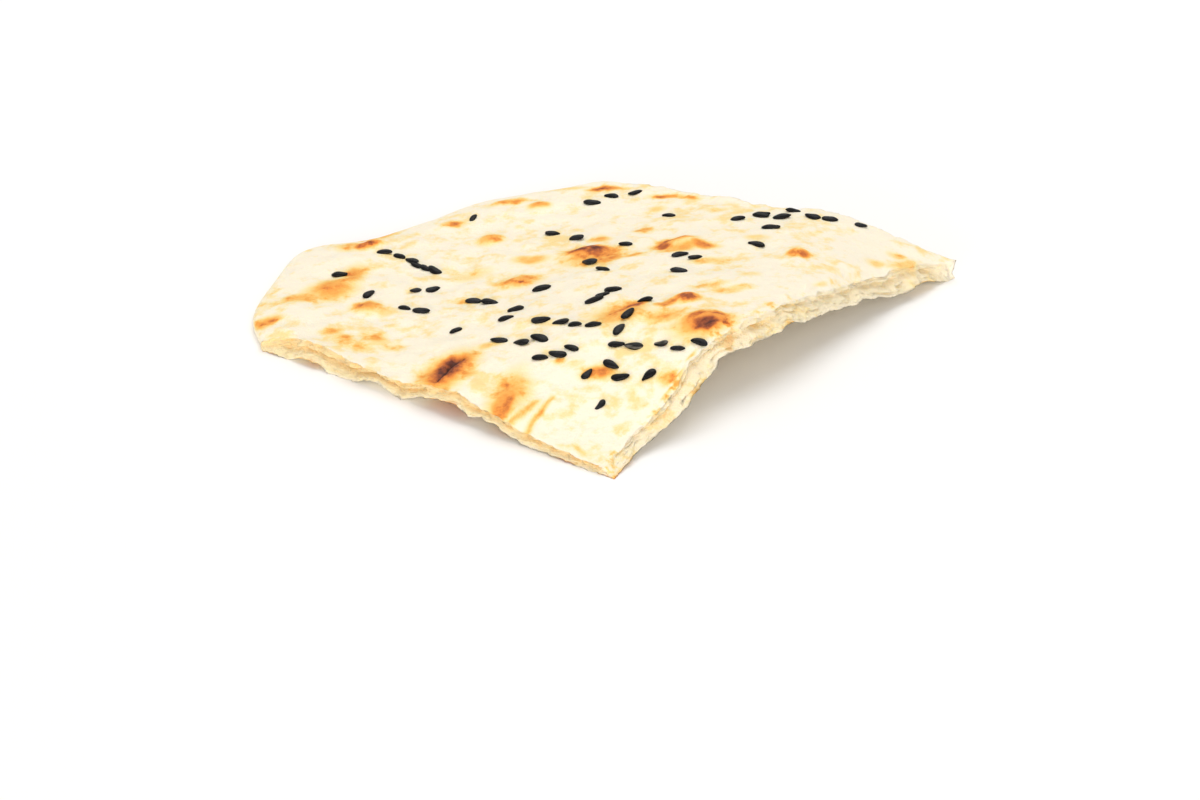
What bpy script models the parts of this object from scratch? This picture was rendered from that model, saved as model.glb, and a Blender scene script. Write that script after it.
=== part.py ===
"""A cut piece of sangak flatbread with black sesame seeds baked onto its top crust.

The sheet is about 3 mm thick and arches over a low crest towards its right side. Three sides are cut
and show the split, layered crumb. The fourth, at the back left, is the loaf's own thin, rounded rim.
The front corner points to -Y and the sheet lies on z = 0. Lengths here are in millimetres, angles in
degrees, and the mesh is written in metres.
"""

import math
import random

import bmesh
import bpy
from mathutils import Matrix, Vector, noise
from mathutils.bvhtree import BVHTree

MM = 0.001

# The sheet, its thin rounded rim, and its front corner, pressed thin by the cut
SHEET = 3.0
SHEET_VARIATION = 0.45
SHEET_PATCH = 13.0
RIM_THICKNESS = 1.7
RIM_TAPER = 9.0
RIM_ROUNDING = 0.9
CORNER_THICKNESS = 0.8
CORNER_TAPER = (6.0, 36.0)

# Plan of the four sides, each from corner to corner through a few points
FRONT = (0.0, -51.0)
RIGHT = (58.0, 18.0)
BACK = (-7.0, 51.0)
LEFT = (-56.0, -9.5)
FRONT_RIGHT_CUT = (FRONT, (4.5, -43.5), (11.0, -36.5), (17.5, -26.5), (26.0, -18.5), (43.0, 2.5), RIGHT)
BACK_RIGHT_CUT = (RIGHT, (46.0, 24.5), (32.0, 31.0), (18.0, 38.0), (5.0, 47.0), BACK)
FRONT_LEFT_CUT = (FRONT, (-14.0, -40.5), (-27.0, -30.0), (-42.0, -19.0), LEFT)
LOAF_RIM = (
    LEFT, (-58.0, 1.0), (-56.0, 13.0), (-52.0, 25.5), (-41.0, 30.0), (-32.0, 37.0), (-22.0, 46.0), BACK
)
SIDE_LENGTH = 90.0

# The arch: its crest starts on the front-right cut and runs towards the back right
CREST_START = (20.0, -26.0)
CREST_HEADING = 74.0
CREST_HEIGHT = 8.5
CREST_REACH_LEFT = 62.0
CREST_REACH_RIGHT = 30.0
CREST_RISE = (-34.0, 6.0)
CREST_FALL = (5.0, 62.0)
CREST_LOSS = 0.45

# Slow waves over the sheet, and the dents of the oven's pebbles in its underside, which show faintly
# through the top. SETTLE is how far the underside sinks where it lies flat on the floor.
WAVE_SIZE = 21.0
WAVE_HEIGHT = 1.0
TOP_WAVE = 0.5
SETTLE = 0.35
PEBBLE_SIZE = 10.5
PEBBLE_EDGE = 0.55
PEBBLE_DENT = 1.15
PEBBLE_ECHO = 0.35
RESTING_SPOT = (-38.0, 4.0)
RESTING_SPOT_REACH = (6.0, 12.0)

# Blisters of the top crust: centre x, centre y, half length, half width, heading, lift
BLISTERS = (
    (-25.5, -24.0, 9.0, 3.6, 58.0, 1.0),
    (-15.5, -34.0, 8.5, 3.6, 80.0, 1.0),
    (-3.5, 16.5, 5.0, 4.2, 0.0, 1.1),
    (12.0, 14.5, 5.2, 3.0, -10.0, 1.0),
    (14.5, -21.0, 6.0, 5.0, 5.0, 1.2),
    (5.0, -14.5, 6.5, 5.0, 20.0, 0.9),
    (11.0, -11.5, 3.6, 3.2, 0.0, 0.9),
    (-45.0, 9.5, 9.0, 3.8, 52.0, 0.9),
    (-40.5, 25.0, 5.0, 2.8, 15.0, 0.8),
    (-39.5, 0.0, 3.6, 3.2, 0.0, 0.8),
    (-20.5, 27.0, 3.4, 3.4, 0.0, 0.8),
    (-16.0, 7.5, 4.0, 3.4, 10.0, 0.8),
    (-12.5, 39.5, 3.4, 3.4, 0.0, 0.9),
    (31.0, 7.5, 3.6, 2.8, 0.0, 0.8),
    (48.5, 9.0, 4.0, 3.4, 20.0, 0.7),
)

# Splits between the top and bottom skins in the cut sides: side, start and end as shares, level, depth
SPLITS = (
    ("front_left", 0.10, 0.46, 0.55, 0.9),
    ("front_left", 0.52, 0.98, 0.60, 1.9),
    ("front_right", 0.12, 0.52, 0.50, 1.3),
    ("front_right", 0.58, 0.94, 0.45, 1.0),
    ("back_right", 0.08, 0.48, 0.50, 1.6),
    ("back_right", 0.56, 0.90, 0.55, 1.2),
)
SPLIT_HEIGHT = 0.22
CUT_RAGGEDNESS = 0.5
CUT_RAG_SIZE = 2.3
CUT_RAGS_UP = 2.0
CUT_HOLLOW = 0.35

# How far the top skin stands back from the bottom one at each cut, the share of a side over which that
# fades out towards the right corner, and the way each side faces
CUT_SLANT = {"front_right": 2.0, "front_left": 0.3, "back_right": 0.6}
SLANT_FADE = 0.1
SIDE_HEADING = {"front_right": -40.0, "front_left": -126.0, "back_right": 63.0, "loaf_rim": 141.0}
EDGE_REACH = 7.0

# Where the bottom skin has broken away at a cut: side, share along it, half width as a share, height
NICKS = (
    ("front_left", 0.68, 0.08, 1.4),
    ("front_left", 0.38, 0.28, 0.9),
    ("front_left", 0.33, 0.05, 0.4),
    ("front_right", 0.33, 0.06, 0.9),
    ("front_right", 0.74, 0.07, 0.7),
    ("back_right", 0.25, 0.06, 0.9),
    ("back_right", 0.63, 0.09, 1.1),
)

# Where the top skin is torn back at a cut: side, share along it, half width as a share, how far. A peel
# is full over the first part of its half width, and fades out at these levels down the side.
PEELS = (
    ("front_left", 0.88, 0.16, 1.5),
    ("front_left", 0.44, 0.10, 0.7),
    ("front_right", 0.26, 0.10, 0.8),
    ("back_right", 0.46, 0.12, 1.1),
)
PEEL_FADE = (0.3, 1.0)
PEEL_LEVELS = (0.05, 0.7)

# Folds in the top crust beside the front corner: start x and y, end x and y, half width, height
FOLDS = (
    (-11.0, -34.0, -17.5, -41.0, 2.0, 0.45),
    (-9.0, -35.0, -13.5, -44.0, 2.0, 0.45),
    (-24.0, -20.5, -28.0, -27.0, 1.6, -0.7),
)

# Which slice of the noise each kind of unevenness reads
WAVE_SLICE = 3.7
PEBBLE_SLICE = 1.3
SHEET_SLICE = 8.1

# Mesh of the sheet: columns along each side, and rows up the sides
COLUMNS = 36
ROWS = 5
SHARP_ANGLE = 40.0

# Black sesame seeds: size of a usual one, how much the sizes differ as shares of it, and how deep it is
# baked in, as a share of its thickness
SEED_LENGTH = 3.2
SEED_WIDTH = 1.8
SEED_THICKNESS = 0.9
SEED_SIZES = (0.74, 1.04)
SEED_SUNK = 0.27
SEED_SEGMENTS = 6
SEED_RINGS = 4
SEED_TAPER = 0.35
SEED_DRAW = 11

# The seeds lie in short drifts, as they were sprinkled, and a few lie alone. The heading is the way that
# their long side points. Drift: start x and y, end x and y, number, heading. Lone seed: x, y, heading,
# size as a share of a drift's.
SEED_DRIFTS = (
    (-38.5, 22.0, -29.0, 14.5, 5, -30.0),
    (-32.5, 7.0, -29.8, 7.7, 2, 55.0),
    (-33.5, 0.8, -30.5, -0.7, 2, -25.0),
    (-22.0, 1.2, -19.5, -0.6, 2, -15.0),
    (-15.0, -5.2, -17.0, -8.7, 2, -5.0),
    (-11.2, -12.6, -3.4, -17.0, 4, -22.0),
    (-17.2, -15.8, -14.8, -17.7, 2, -20.0),
    (-10.9, -23.4, -6.1, -23.4, 3, -28.0),
    (-3.2, -7.2, 0.8, -3.6, 3, 8.0),
    (1.7, -16.5, 1.1, -20.0, 2, 60.0),
    (0.8, -24.2, 13.0, -26.6, 5, -8.0),
    (-0.6, -27.8, 1.4, -29.8, 2, -15.0),
    (-4.0, -29.0, 5.3, -31.3, 2, 45.0),
    (-4.2, 11.2, -1.1, 6.2, 2, -25.0),
    (-9.6, 27.4, -5.5, 23.0, 2, -10.0),
    (-3.2, 39.2, 3.8, 43.0, 3, 0.0),
    (10.8, 8.2, 13.4, 6.6, 2, 5.0),
    (21.1, 24.2, 30.4, 28.7, 3, 15.0),
    (25.2, 25.7, 41.8, 23.0, 5, -10.0),
    (26.7, 19.4, 23.3, 11.7, 2, -20.0),
)
LONE_SEEDS = (
    (-45.5, 13.5, 0.0, 1.0),
    (-40.0, 5.5, 50.0, 0.9),
    (-32.8, 17.0, -20.0, 0.9),
    (-24.0, 36.0, 50.0, 0.9),
    (-25.0, -10.0, 50.0, 0.9),
    (-11.5, -18.4, -20.0, 1.0),
    (-11.5, 2.0, 20.0, 1.0),
    (5.2, -10.6, -30.0, 1.0),
    (-2.0, -35.6, 45.0, 0.7),
    (2.3, 16.6, -10.0, 0.9),
    (9.8, 30.1, -20.0, 1.0),
    (10.8, 1.9, -25.0, 1.0),
)
SEED_SCATTER = 0.7
SEED_TURN = 12.0
SEED_TILT = 9.0
ABOVE_THE_SHEET = 50.0

CRUST_COLOUR = (0.86, 0.76, 0.55, 1.0)
CRUST_ROUGHNESS = 0.8


def clear_scene():
    """Removes what the startup scene holds."""
    for item in list(bpy.data.objects):
        bpy.data.objects.remove(item)


def ramp(low, high, value):
    """0 below low, 1 above high, and smooth between them."""
    share = min(1.0, max(0.0, (value - low) / (high - low)))
    return share * share * (3.0 - 2.0 * share)


def spline_point(points, share):
    """The point at this share of the length of a smooth curve through the points."""
    lengths = [math.dist(a, b) for a, b in zip(points, points[1:])]
    distance = share * sum(lengths)
    span = 0
    while span < len(lengths) - 1 and distance > lengths[span]:
        distance -= lengths[span]
        span += 1
    t = min(1.0, distance / lengths[span])
    before = points[max(span - 1, 0)]
    start, end = points[span], points[span + 1]
    after = points[min(span + 2, len(points) - 1)]
    return tuple(
        0.5 * (2 * b + (c - a) * t + (2 * a - 5 * b + 4 * c - d) * t**2 + (3 * b - a - 3 * c + d) * t**3)
        for a, b, c, d in zip(before, start, end, after)
    )


def plan(u, v):
    """The point of the plan at shares u and v: u runs along the front-right cut, v along the front-left."""
    front, back = spline_point(FRONT_RIGHT_CUT, u), spline_point(LOAF_RIM, u)
    left, right = spline_point(FRONT_LEFT_CUT, v), spline_point(BACK_RIGHT_CUT, v)
    return tuple(
        (1 - v) * front[i] + v * back[i] + (1 - u) * left[i] + u * right[i]
        - (1 - u) * (1 - v) * FRONT[i] - u * (1 - v) * RIGHT[i] - (1 - u) * v * LEFT[i] - u * v * BACK[i]
        for i in (0, 1)
    )


def crest_height(x, y):
    """Height of the arch over the floor."""
    heading = math.radians(CREST_HEADING)
    from_start = Vector((x - CREST_START[0], y - CREST_START[1]))
    along = from_start.dot(Vector((math.cos(heading), math.sin(heading))))
    across = from_start.dot(Vector((math.sin(heading), -math.cos(heading))))
    reach = CREST_REACH_RIGHT if across > 0 else CREST_REACH_LEFT
    bell = math.cos(min(1.0, abs(across) / reach) * math.pi / 2) ** 2
    return CREST_HEIGHT * bell * ramp(*CREST_RISE, along) * (1 - CREST_LOSS * ramp(*CREST_FALL, along))


def wave_height(x, y):
    return WAVE_HEIGHT * noise.noise(Vector((x / WAVE_SIZE, y / WAVE_SIZE, WAVE_SLICE)))


def pebble_dent(x, y):
    """How far a pebble presses into the underside here: full over its middle, none between two pebbles."""
    distances = noise.voronoi(Vector((x / PEBBLE_SIZE, y / PEBBLE_SIZE, PEBBLE_SLICE)))[0]
    return ramp(0.0, PEBBLE_EDGE, distances[1] - distances[0])


def fold_height(x, y):
    """How far the folds lift the top crust here, or sink it."""
    height = 0.0
    for start_x, start_y, end_x, end_y, half_width, fold in FOLDS:
        start, run = Vector((start_x, start_y)), Vector((end_x - start_x, end_y - start_y))
        share = min(1.0, max(0.0, (Vector((x, y)) - start).dot(run) / run.length_squared))
        away = (Vector((x, y)) - start - run * share).length
        height += fold * (1 - ramp(0.0, half_width, away))
    return height


def blister_lift(x, y):
    """How far the blisters lift the top crust here."""
    lift = 0.0
    for centre_x, centre_y, half_length, half_width, heading, height in BLISTERS:
        turn = math.radians(heading)
        dx, dy = x - centre_x, y - centre_y
        along = (dx * math.cos(turn) + dy * math.sin(turn)) / half_length
        across = (dy * math.cos(turn) - dx * math.sin(turn)) / half_width
        lift += height * (1 - ramp(0.0, 1.0, math.hypot(along, across)))
    return lift


def sides(u, v):
    """Each side with the share along it and the distance from it of this point of the plan."""
    return (
        ("front_right", u, v * SIDE_LENGTH),
        ("front_left", v, u * SIDE_LENGTH),
        ("back_right", v, (1 - u) * SIDE_LENGTH),
        ("loaf_rim", u, (1 - v) * SIDE_LENGTH),
    )


def nick_height(u, v):
    """How far the bottom skin is broken away here."""
    height = 0.0
    for side, share, away in sides(u, v):
        for nick_side, middle, half_width, nick in NICKS:
            if nick_side == side:
                across = ramp(0.0, 1.0, abs(share - middle) / half_width)
                height += nick * (1 - across) * (1 - ramp(0.0, EDGE_REACH, away))
    return height


def sheet_thickness(x, y, to_rim):
    full = SHEET + SHEET_VARIATION * noise.noise(Vector((x / SHEET_PATCH, y / SHEET_PATCH, SHEET_SLICE)))
    at_rim = RIM_THICKNESS + (full - RIM_THICKNESS) * ramp(-1.0, RIM_TAPER, to_rim)
    to_corner = math.dist((x, y), FRONT)
    return CORNER_THICKNESS + (at_rim - CORNER_THICKNESS) * ramp(*CORNER_TAPER, to_corner)


def skins(u, v):
    """The plan point at u and v, with the heights of the bottom and top skins there."""
    x, y = plan(u, v)
    to_rim = (1 - v) * SIDE_LENGTH
    thickness = sheet_thickness(x, y, to_rim)
    relief = ramp(0.0, RIM_TAPER, to_rim) * min(1.0, thickness / SHEET)
    dented = ramp(*RESTING_SPOT_REACH, math.dist((x, y), RESTING_SPOT))
    dent, crest, wave = pebble_dent(x, y), crest_height(x, y), wave_height(x, y)
    under = crest + wave - SETTLE + (PEBBLE_DENT * dent + nick_height(u, v)) * relief
    bottom = max(0.0, under) * dented
    over = blister_lift(x, y) + fold_height(x, y) + PEBBLE_ECHO * (dent - 0.5) + TOP_WAVE * wave
    return x, y, bottom, crest + thickness + over * relief


def split_depth(side, share, level):
    """How far the skins' split reaches into a cut side, at this share of its length and this level."""
    depth = 0.0
    for split_side, start, end, split_level, split in SPLITS:
        if split_side == side and start < share < end:
            fade = math.sin(math.pi * (share - start) / (end - start)) ** 0.5
            depth += split * fade * (1 - ramp(0.0, SPLIT_HEIGHT, abs(level - split_level)))
    return depth


def peel_depth(side, share, level):
    """How far the top skin is torn back here."""
    depth = 0.0
    for peel_side, middle, half_width, peel in PEELS:
        if peel_side == side:
            depth += peel * (1 - ramp(*PEEL_FADE, abs(share - middle) / half_width))
    return depth * (1 - ramp(*PEEL_LEVELS, level))


def slant(side, share):
    """How far the top skin stands back here. The right corner, where two cuts meet, has none."""
    to_corner = share if side == "back_right" else 1 - share
    return CUT_SLANT[side] * ramp(0.0, SLANT_FADE, to_corner)


def side_shift(side, share, level):
    """How far a side stands out from its plan, or in if below zero. Level is 0 at the top and 1 below."""
    belly = 1 - (2 * level - 1) ** 2
    if side == "loaf_rim":
        return RIM_ROUNDING * belly
    along = share * SIDE_LENGTH / CUT_RAG_SIZE
    ragged = noise.noise(Vector((along, level * CUT_RAGS_UP, SIDE_HEADING[side])))
    cut = CUT_RAGGEDNESS * ragged - CUT_HOLLOW * belly - slant(side, share) * (1 - level)
    return cut - split_depth(side, share, level) - peel_depth(side, share, level)


def edge_shift(u, v, level):
    """How far the sides move a point of the plan. It fades out within a few millimetres of a side."""
    shift = Vector((0.0, 0.0))
    for side, share, away in sides(u, v):
        heading = math.radians(SIDE_HEADING[side])
        fade = 1 - ramp(0.0, EDGE_REACH, away)
        shift += Vector((math.cos(heading), math.sin(heading))) * side_shift(side, share, level) * fade
    return shift


def unit_block(columns, rows):
    """A closed block from (0, 0, 0) to (1, 1, 1), cut into columns both ways and into rows up its sides."""
    block = bmesh.new()
    bmesh.ops.create_cube(block, size=1.0)
    bmesh.ops.translate(block, verts=block.verts, vec=(0.5, 0.5, 0.5))
    for axis, pieces in ((2, rows), (0, columns), (1, columns)):
        runs = [e for e in block.edges if abs(e.verts[0].co[axis] - e.verts[1].co[axis]) > 0.5]
        bmesh.ops.subdivide_edges(block, edges=runs, cuts=pieces - 1, use_grid_fill=True)
    return block


def sheet_mesh():
    """The bread: a block whose points are moved to the plan, the skins' heights and the ragged sides."""
    sheet = unit_block(COLUMNS, ROWS)
    for vertex in sheet.verts:
        u, v, level = vertex.co.x, vertex.co.y, 1.0 - vertex.co.z
        x, y, bottom, top = skins(u, v)
        shift = edge_shift(u, v, level)
        vertex.co = Vector((x + shift.x, y + shift.y, top + (bottom - top) * level))
    bmesh.ops.recalc_face_normals(sheet, faces=sheet.faces)
    return sheet


def seed_mesh(matrix):
    """One teardrop-shaped seed, with a blunt end and a narrower one, placed by the matrix."""
    seed = bmesh.new()
    bmesh.ops.create_uvsphere(seed, u_segments=SEED_SEGMENTS, v_segments=SEED_RINGS, radius=0.5)
    bmesh.ops.rotate(seed, verts=seed.verts, matrix=Matrix.Rotation(math.pi / 2, 3, "Y"))
    for vertex in seed.verts:
        narrowing = 1 - SEED_TAPER * ramp(-0.5, 0.5, vertex.co.x)
        vertex.co = Vector(
            (vertex.co.x * SEED_LENGTH, vertex.co.y * SEED_WIDTH * narrowing, vertex.co.z * SEED_THICKNESS)
        )
    bmesh.ops.transform(seed, verts=seed.verts, matrix=matrix)
    bmesh.ops.recalc_face_normals(seed, faces=seed.faces)
    return seed


def seed_spots(draw):
    """Plan place, heading and size of every seed: each drift's in a scattered row, then the lone ones."""
    for start_x, start_y, end_x, end_y, count, heading in SEED_DRIFTS:
        for number in range(count):
            share = number / (count - 1)
            x = start_x + (end_x - start_x) * share + draw.uniform(-SEED_SCATTER, SEED_SCATTER)
            y = start_y + (end_y - start_y) * share + draw.uniform(-SEED_SCATTER, SEED_SCATTER)
            yield x, y, heading, 1.0
    yield from LONE_SEEDS


def seed_places(sheet):
    """A matrix for each seed: on the crust and nearly flat to it, with its long side along the heading."""
    surface = BVHTree.FromBMesh(sheet)
    draw = random.Random(SEED_DRAW)
    places = []
    for x, y, heading, share in seed_spots(draw):
        point, normal, _, _ = surface.ray_cast(Vector((x, y, ABOVE_THE_SHEET)), Vector((0, 0, -1)))
        turn = math.radians(heading + draw.gauss(0.0, SEED_TURN) + draw.choice((0.0, 180.0)))
        along = Vector((math.cos(turn), math.sin(turn), 0.0))
        along = (along - normal * along.dot(normal)).normalized()
        flat = Matrix((along, normal.cross(along), normal)).transposed().to_4x4()
        tilt = Matrix.Rotation(math.radians(draw.uniform(-SEED_TILT, SEED_TILT)), 4, "Y")
        size = share * draw.uniform(*SEED_SIZES)
        stand = point + normal * SEED_THICKNESS * size * (0.5 - SEED_SUNK)
        places.append(Matrix.Translation(stand) @ flat @ tilt @ Matrix.Scale(size, 4))
    return places


def crust_material():
    material = bpy.data.materials.new("baked_crust")
    material.use_nodes = True
    shader = material.node_tree.nodes["Principled BSDF"]
    shader.inputs["Base Color"].default_value = CRUST_COLOUR
    shader.inputs["Roughness"].default_value = CRUST_ROUGHNESS
    shader.inputs["Metallic"].default_value = 0.0
    return material


def add_object(name, shape, collection):
    """Writes a bmesh in millimetres as an object in metres."""
    bmesh.ops.scale(shape, verts=shape.verts, vec=(MM, MM, MM))
    mesh = bpy.data.meshes.new(name)
    shape.to_mesh(mesh)
    shape.free()
    item = bpy.data.objects.new(name, mesh)
    collection.objects.link(item)
    return item


def new_collection(name):
    collection = bpy.data.collections.new(name)
    bpy.context.scene.collection.children.link(collection)
    return collection


def fuse(bread, toppings):
    """Joins every object of the toppings' collection to the bread, then removes them."""
    union = bread.modifiers.new("fuse_seeds", "BOOLEAN")
    union.operation = "UNION"
    union.operand_type = "COLLECTION"
    union.collection = toppings
    union.solver = "EXACT"
    graph = bpy.context.evaluated_depsgraph_get()
    fused = bpy.data.meshes.new_from_object(bread.evaluated_get(graph))
    bread.modifiers.clear()
    bread.data = fused
    for item in list(toppings.objects):
        bpy.data.objects.remove(item)
    bpy.data.collections.remove(toppings)


def stand_on_origin(bread):
    """Moves the mesh so that the middle of its box's underside is the origin."""
    corners = [Vector(corner) for corner in bread.bound_box]
    low = Vector(min(c[i] for c in corners) for i in range(3))
    high = Vector(max(c[i] for c in corners) for i in range(3))
    middle = (low + high) / 2
    bread.data.transform(Matrix.Translation((-middle.x, -middle.y, -low.z)))


def main():
    clear_scene()
    sheet = sheet_mesh()
    places = seed_places(sheet)
    bread = add_object("sangak_piece", sheet, new_collection("sangak_bread"))
    seeds = new_collection("black_sesame")
    for number, place in enumerate(places):
        add_object(f"seed_{number}", seed_mesh(place), seeds)
    fuse(bread, seeds)
    bread.data.materials.clear()
    bread.data.materials.append(crust_material())
    stand_on_origin(bread)
    bread.data.shade_smooth()
    bread.data.set_sharp_from_angle(angle=math.radians(SHARP_ANGLE))


main()
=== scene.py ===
"""The looks of a cut piece of sangak flatbread: its toasted crust, its torn crumb and its black sesame seeds.

The bread is modelled again at a finer grain over the same plan, arch, pebble dents and blisters as its
CAD solid, in the same millimetres, and stands for that solid. Lengths are in millimetres until a mesh is
finished, and angles are in degrees.
"""

import math
import random

import bmesh
import bpy
import numpy as np
from mathutils import Matrix, Vector, noise
from mathutils.bvhtree import BVHTree


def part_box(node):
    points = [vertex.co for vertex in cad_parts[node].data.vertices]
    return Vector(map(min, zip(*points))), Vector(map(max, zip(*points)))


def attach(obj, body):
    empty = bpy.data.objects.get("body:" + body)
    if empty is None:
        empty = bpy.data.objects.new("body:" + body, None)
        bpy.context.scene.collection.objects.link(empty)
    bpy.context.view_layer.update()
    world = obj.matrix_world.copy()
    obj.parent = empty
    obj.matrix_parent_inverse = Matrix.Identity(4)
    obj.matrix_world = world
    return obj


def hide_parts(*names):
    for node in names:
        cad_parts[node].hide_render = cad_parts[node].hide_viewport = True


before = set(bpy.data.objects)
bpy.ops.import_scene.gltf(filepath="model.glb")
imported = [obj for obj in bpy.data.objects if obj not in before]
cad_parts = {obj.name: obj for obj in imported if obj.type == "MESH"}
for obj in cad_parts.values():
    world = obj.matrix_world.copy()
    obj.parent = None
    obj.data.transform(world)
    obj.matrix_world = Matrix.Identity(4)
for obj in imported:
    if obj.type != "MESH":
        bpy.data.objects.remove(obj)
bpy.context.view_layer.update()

NODE = "sangak_piece"
BODY = "root"
MM = 0.001

# The sheet, its thin rounded rim, and its front corner, pressed thin by the cut
SHEET = 3.0
SHEET_VARIATION = 0.45
SHEET_PATCH = 13.0
RIM_THICKNESS = 1.7
RIM_TAPER = 9.0
RIM_ROUNDING = 0.9
CORNER_THICKNESS = 0.8
CORNER_TAPER = (6.0, 36.0)

# Plan of the four sides, each from corner to corner through a few points
FRONT = (0.0, -51.0)
RIGHT = (58.0, 18.0)
BACK = (-7.0, 51.0)
LEFT = (-56.0, -9.5)
FRONT_RIGHT_CUT = (FRONT, (4.5, -43.5), (11.0, -36.5), (17.5, -26.5), (26.0, -18.5), (43.0, 2.5), RIGHT)
BACK_RIGHT_CUT = (RIGHT, (46.0, 24.5), (32.0, 31.0), (18.0, 38.0), (5.0, 47.0), BACK)
FRONT_LEFT_CUT = (FRONT, (-14.0, -40.5), (-27.0, -30.0), (-42.0, -19.0), LEFT)
LOAF_RIM = (
    LEFT, (-58.0, 1.0), (-56.0, 13.0), (-52.0, 25.5), (-41.0, 30.0), (-32.0, 37.0), (-22.0, 46.0), BACK
)
SIDE_LENGTH = 90.0

# The arch: its crest starts on the front-right cut and runs towards the back right
CREST_START = (20.0, -26.0)
CREST_HEADING = 74.0
CREST_HEIGHT = 8.5
CREST_REACH_LEFT = 62.0
CREST_REACH_RIGHT = 30.0
CREST_RISE = (-34.0, 6.0)
CREST_FALL = (5.0, 62.0)
CREST_LOSS = 0.45

# Slow waves over the sheet, and the dents of the oven's pebbles in its underside, which show faintly
# through the top. SETTLE is how far the underside sinks where it lies flat on the floor.
WAVE_SIZE = 21.0
WAVE_HEIGHT = 1.0
TOP_WAVE = 0.5
SETTLE = 0.35
PEBBLE_SIZE = 10.5
PEBBLE_EDGE = 0.55
PEBBLE_DENT = 1.15
PEBBLE_ECHO = 0.35
RESTING_SPOT = (-38.0, 4.0)
RESTING_SPOT_REACH = (6.0, 12.0)

# Blisters of the top crust: centre x, centre y, half length, half width, heading, lift
BLISTERS = (
    (-25.5, -24.0, 9.0, 3.6, 58.0, 1.0),
    (-15.5, -34.0, 8.5, 3.6, 80.0, 1.0),
    (-3.5, 16.5, 5.0, 4.2, 0.0, 1.1),
    (12.0, 14.5, 5.2, 3.0, -10.0, 1.0),
    (14.5, -21.0, 6.0, 5.0, 5.0, 1.2),
    (5.0, -14.5, 6.5, 5.0, 20.0, 0.9),
    (11.0, -11.5, 3.6, 3.2, 0.0, 0.9),
    (-45.0, 9.5, 9.0, 3.8, 52.0, 0.9),
    (-40.5, 25.0, 5.0, 2.8, 15.0, 0.8),
    (-39.5, 0.0, 3.6, 3.2, 0.0, 0.8),
    (-20.5, 27.0, 3.4, 3.4, 0.0, 0.8),
    (-16.0, 7.5, 4.0, 3.4, 10.0, 0.8),
    (-12.5, 39.5, 3.4, 3.4, 0.0, 0.9),
    (31.0, 7.5, 3.6, 2.8, 0.0, 0.8),
    (48.5, 9.0, 4.0, 3.4, 20.0, 0.7),
)

# Splits between the top and bottom skins in the cut sides: side, start and end as shares, level, depth
SPLITS = (
    ("front_left", 0.10, 0.46, 0.55, 0.9),
    ("front_left", 0.52, 0.98, 0.60, 1.9),
    ("front_right", 0.12, 0.52, 0.50, 1.3),
    ("front_right", 0.58, 0.94, 0.45, 1.0),
    ("back_right", 0.08, 0.48, 0.50, 1.6),
    ("back_right", 0.56, 0.90, 0.55, 1.2),
)
SPLIT_HEIGHT = 0.22
CUT_RAGGEDNESS = 0.5
CUT_RAG_SIZE = 2.3
CUT_RAGS_UP = 2.0
CUT_HOLLOW = 0.35

# How far the top skin stands back from the bottom one at each cut, the share of a side over which that
# fades out towards the right corner, and the way each side faces
CUT_SLANT = {"front_right": 2.0, "front_left": 0.3, "back_right": 0.6}
SLANT_FADE = 0.1
SIDE_HEADING = {"front_right": -40.0, "front_left": -126.0, "back_right": 63.0, "loaf_rim": 141.0}
EDGE_REACH = 7.0

# Where the bottom skin has broken away at a cut: side, share along it, half width as a share, height
NICKS = (
    ("front_left", 0.68, 0.08, 1.4),
    ("front_left", 0.38, 0.28, 0.9),
    ("front_left", 0.33, 0.05, 0.4),
    ("front_right", 0.33, 0.06, 0.9),
    ("front_right", 0.74, 0.07, 0.7),
    ("back_right", 0.25, 0.06, 0.9),
    ("back_right", 0.63, 0.09, 1.1),
)

# Where the top skin is torn back at a cut: side, share along it, half width as a share, how far. A peel
# is full over the first part of its half width, and fades out at these levels down the side.
PEELS = (
    ("front_left", 0.88, 0.16, 1.5),
    ("front_left", 0.44, 0.10, 0.7),
    ("front_right", 0.26, 0.10, 0.8),
    ("back_right", 0.46, 0.12, 1.1),
)
PEEL_FADE = (0.3, 1.0)
PEEL_LEVELS = (0.05, 0.7)

# Folds in the top crust beside the front corner: start x and y, end x and y, half width, height
FOLDS = (
    (-11.0, -34.0, -17.5, -41.0, 2.0, 0.45),
    (-9.0, -35.0, -13.5, -44.0, 2.0, 0.45),
    (-24.0, -20.5, -28.0, -27.0, 1.6, -0.7),
)

# Which slice of the noise each kind of unevenness reads
WAVE_SLICE = 3.7
PEBBLE_SLICE = 1.3
SHEET_SLICE = 8.1

# Mesh of the sheet: columns along each side, and rows up the sides
COLUMNS = 200
ROWS = 18

# Fine relief of the crust: each layer's size, height and slice, first the bubbles and then the crinkles
CRUST_RELIEF = ((5.5, 0.24, 21.0), (2.6, 0.14, 33.0), (1.3, 0.07, 45.0))

# The pitted band along the front-right cut: its width, the shares of that side over which it calms down, how
# rough it stays beyond them, and its relief
ROUGH_BAND = (1.0, 9.0)
ROUGH_RUN = (0.40, 0.70)
ROUGH_LEAST = 0.25
ROUGH_BAND_RELIEF = ((2.4, 0.34, 57.0), (1.2, 0.18, 61.0))

# Fine shape of the cut sides: size and reach of the fringe's crumbs, then each kind of flat pore's length,
# height and depth, how strong the noise is where a pore opens and is deepest, and how far the pores stay
# away from the two skins and, as a share of a side, from the corners
FRINGE_SIZE = 0.9
FRINGE = 0.28
CRUMB_PORES = ((2.6, 0.55, 0.75), (1.3, 0.30, 0.35), (0.7, 0.20, 0.15))
PORE_OPENING = (0.02, 0.45)
PORE_MARGIN = 0.12
WHOLE_CORNER = 0.07

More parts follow.
